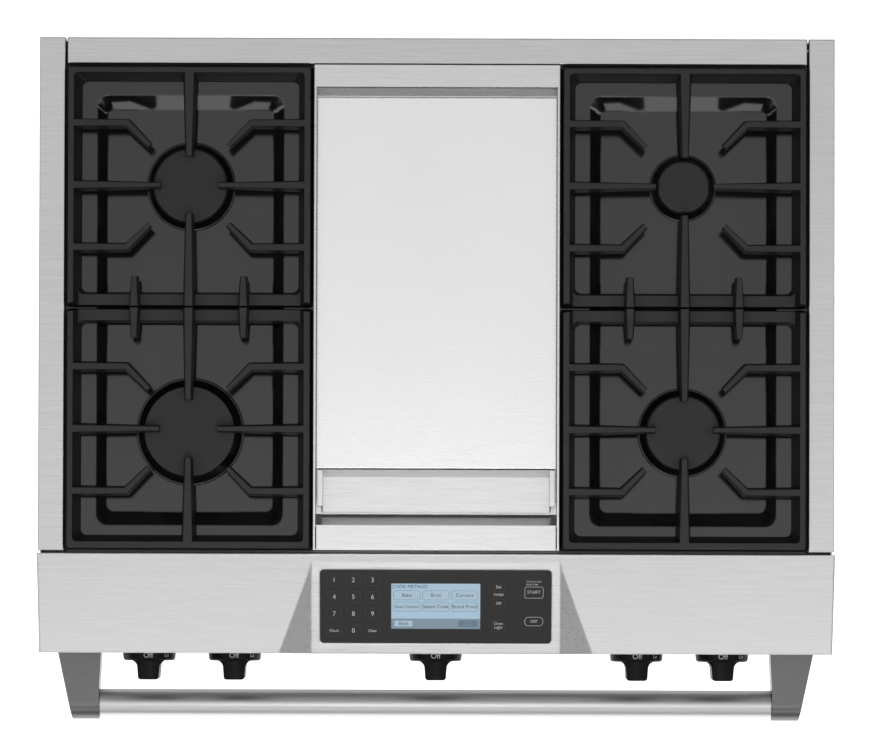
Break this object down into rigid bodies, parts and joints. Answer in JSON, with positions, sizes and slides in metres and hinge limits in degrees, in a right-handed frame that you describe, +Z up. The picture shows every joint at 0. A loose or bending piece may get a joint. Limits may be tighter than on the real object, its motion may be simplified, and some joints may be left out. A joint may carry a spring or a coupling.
{
  "type": "gas range",
  "caption": "Free-standing stainless range with cast-iron grates over gas burners, a centre griddle with a lift-out tray, a sloped touch console, knobs and an oven door",
  "frame": {"origin": "on the floor, under the middle of the range's outline", "axes": "+X to the user's right, -Y towards the user, +Z up"},
  "size_m": [0.9136, 0.788, 0.932],
  "materials": {
    "stainless_brushed": "fine brush grain from side to side",
    "stainless_satin": "satin, lightly polished",
    "galvanised_sheet": "plain zinc-coated sheet",
    "griddle_steel": "satin plated cooking surface",
    "black_enamel": "gloss porcelain enamel",
    "cavity_enamel": "speckled dark oven enamel",
    "grate_iron": "matt black enamelled casting",
    "cap_iron": "matt black enamelled cap",
    "burner_black": "semi-gloss black",
    "igniter_ceramic": "glazed white ceramic",
    "knob_black": "black, soft gloss",
    "spindle_brass": "turned",
    "valve_brass": "machined casting",
    "tube_aluminium": "drawn tube",
    "manifold_steel": "black steel pipe",
    "overlay_glass": "gloss black touch glass",
    "door_glass": "tinted heat-reflecting glass",
    "lamp_glass": "ribbed lamp cover",
    "rack_chrome": "plated wire",
    "element_sheath": "oxidised heater sheath",
    "gasket_braid": "woven glass-fibre braid",
    "insulation_wool": "glass-wool blanket",
    "board_green": "lacquered circuit board",
    "thermostat_body": "moulded thermostat case",
    "motor_steel": "plain motor can",
    "leg_steel": "zinc-plated leg"
  },
  "bodies": {
    "range": {"base_pan": "galvanised_sheet", "side_panels": "stainless_brushed", "rear_panel": "galvanised_sheet", "kick_plate": "stainless_brushed", "cooktop_side_trims": "stainless_brushed", "back_trim": "stainless_brushed", "oven_liner": "cavity_enamel", "oven_insulation": "insulation_wool", "oven_face_frame": "cavity_enamel", "door_gasket": "gasket_braid", "rack_guides": "rack_chrome", "bake_element": "element_sheath", "broil_element": "element_sheath", "fan_cover": "cavity_enamel", "fan_motor": "motor_steel", "oven_lamps": "lamp_glass", "hinge_receivers": "galvanised_sheet", "burner_pans": "black_enamel", "griddle_housing": "stainless_brushed", "griddle_plate": "griddle_steel", "griddle_element": "element_sheath", "burner_heads": "burner_black", "burner_caps": "cap_iron", "igniters": "igniter_ceramic", "gas_manifold": "manifold_steel", "gas_valves": "valve_brass", "burner_tubes": "tube_aluminium", "control_deck": "stainless_brushed", "knob_panel": "stainless_brushed", "touch_panel": "overlay_glass", "control_board": "board_green", "griddle_thermostat": "thermostat_body"},
    "door": {"door_skin": "stainless_brushed", "door_liner": "cavity_enamel", "door_glass_outer": "door_glass", "door_glass_inner": "door_glass", "handle_bar": "stainless_satin", "handle_brackets": "stainless_satin", "door_hinge_arms": "galvanised_sheet"},
    "rack_upper": {"rack_upper": "rack_chrome"},
    "rack_lower": {"rack_lower": "rack_chrome"},
    "fan_blade": {"fan_blade": "tube_aluminium"},
    "grate_rear_left": {"grate_rear_left": "grate_iron"},
    "grate_front_left": {"grate_front_left": "grate_iron"},
    "grate_rear_right": {"grate_rear_right": "grate_iron"},
    "grate_front_right": {"grate_front_right": "grate_iron"},
    "grease_tray": {"grease_tray": "stainless_brushed"},
    "knob_griddle": {"knob_griddle": "knob_black"},
    "knob_left_outer": {"knob_left_outer": "knob_black"},
    "knob_left_inner": {"knob_left_inner": "knob_black"},
    "knob_right_inner": {"knob_right_inner": "knob_black"},
    "knob_right_outer": {"knob_right_outer": "knob_black"},
    "spindle_left_outer": {"spindle_left_outer": "spindle_brass"},
    "spindle_left_inner": {"spindle_left_inner": "spindle_brass"},
    "spindle_right_inner": {"spindle_right_inner": "spindle_brass"},
    "spindle_right_outer": {"spindle_right_outer": "spindle_brass"},
    "leg_front_left": {"leg_front_left": "leg_steel"},
    "leg_front_right": {"leg_front_right": "leg_steel"},
    "leg_rear_left": {"leg_rear_left": "leg_steel"},
    "leg_rear_right": {"leg_rear_right": "leg_steel"}
  },
  "joints": [
    {"name": "door_hinge", "type": "hinge", "parent": "range", "child": "door", "pos_m": [0, -0.265, 0.158], "axis": [1, 0, 0], "range_deg": [0, 90], "stiffness_Nm_per_rad": 21, "springref_deg": -32.72},
    {"name": "turn_left_outer", "type": "hinge", "parent": "range", "child": "spindle_left_outer", "pos_m": [-0.3333, -0.3, 0.785], "axis": [0, -1, 0], "range_deg": [0, 270]},
    {"name": "push_left_outer", "type": "slide", "parent": "spindle_left_outer", "child": "knob_left_outer", "axis": [0, 1, 0], "range_m": [0, 0.004], "stiffness_N_per_m": 1500, "springref_m": -0.004},
    {"name": "turn_left_inner", "type": "hinge", "parent": "range", "child": "spindle_left_inner", "pos_m": [-0.2338, -0.3, 0.785], "axis": [0, -1, 0], "range_deg": [0, 270]},
    {"name": "push_left_inner", "type": "slide", "parent": "spindle_left_inner", "child": "knob_left_inner", "axis": [0, 1, 0], "range_m": [0, 0.004], "stiffness_N_per_m": 1500, "springref_m": -0.004},
    {"name": "turn_right_inner", "type": "hinge", "parent": "range", "child": "spindle_right_inner", "pos_m": [0.2338, -0.3, 0.785], "axis": [0, -1, 0], "range_deg": [0, 270]},
    {"name": "push_right_inner", "type": "slide", "parent": "spindle_right_inner", "child": "knob_right_inner", "axis": [0, 1, 0], "range_m": [0, 0.004], "stiffness_N_per_m": 1500, "springref_m": -0.004},
    {"name": "turn_right_outer", "type": "hinge", "parent": "range", "child": "spindle_right_outer", "pos_m": [0.3333, -0.3, 0.785], "axis": [0, -1, 0], "range_deg": [0, 270]},
    {"name": "push_right_outer", "type": "slide", "parent": "spindle_right_outer", "child": "knob_right_outer", "axis": [0, 1, 0], "range_m": [0, 0.004], "stiffness_N_per_m": 1500, "springref_m": -0.004},
    {"name": "turn_griddle", "type": "hinge", "parent": "range", "child": "knob_griddle", "pos_m": [0, -0.3, 0.785], "axis": [0, -1, 0], "range_deg": [0, 270]},
    {"name": "lift_grate_rear_left", "type": "slide", "parent": "range", "child": "grate_rear_left", "axis": [0, 0, 1], "range_m": [0, 0.08]},
    {"name": "lift_grate_front_left", "type": "slide", "parent": "range", "child": "grate_front_left", "axis": [0, 0, 1], "range_m": [0, 0.08]},
    {"name": "lift_grate_rear_right", "type": "slide", "parent": "range", "child": "grate_rear_right", "axis": [0, 0, 1], "range_m": [0, 0.08]},
    {"name": "lift_grate_front_right", "type": "slide", "parent": "range", "child": "grate_front_right", "axis": [0, 0, 1], "range_m": [0, 0.08]},
    {"name": "lift_grease_tray", "type": "slide", "parent": "range", "child": "grease_tray", "axis": [0, 0, 1], "range_m": [0, 0.08]},
    {"name": "slide_rack_upper", "type": "slide", "parent": "range", "child": "rack_upper", "axis": [0, -1, 0], "range_m": [0, 0.02]},
    {"name": "slide_rack_lower", "type": "slide", "parent": "range", "child": "rack_lower", "axis": [0, -1, 0], "range_m": [0, 0.02]},
    {"name": "fan_spin", "type": "hinge", "parent": "range", "child": "fan_blade", "pos_m": [0, 0.24, 0.4], "axis": [0, -1, 0], "continuous": true},
    {"name": "turn_leg_front_left", "type": "hinge", "parent": "range", "child": "leg_front_left", "pos_m": [-0.41, -0.2, 0.05], "axis": [0, 0, 1], "continuous": true},
    {"name": "turn_leg_front_right", "type": "hinge", "parent": "range", "child": "leg_front_right", "pos_m": [0.41, -0.2, 0.05], "axis": [0, 0, 1], "continuous": true},
    {"name": "turn_leg_rear_left", "type": "hinge", "parent": "range", "child": "leg_rear_left", "pos_m": [-0.41, 0.345, 0.05], "axis": [0, 0, 1], "continuous": true},
    {"name": "turn_leg_rear_right", "type": "hinge", "parent": "range", "child": "leg_rear_right", "pos_m": [0.41, 0.345, 0.05], "axis": [0, 0, 1], "continuous": true}
  ]
}
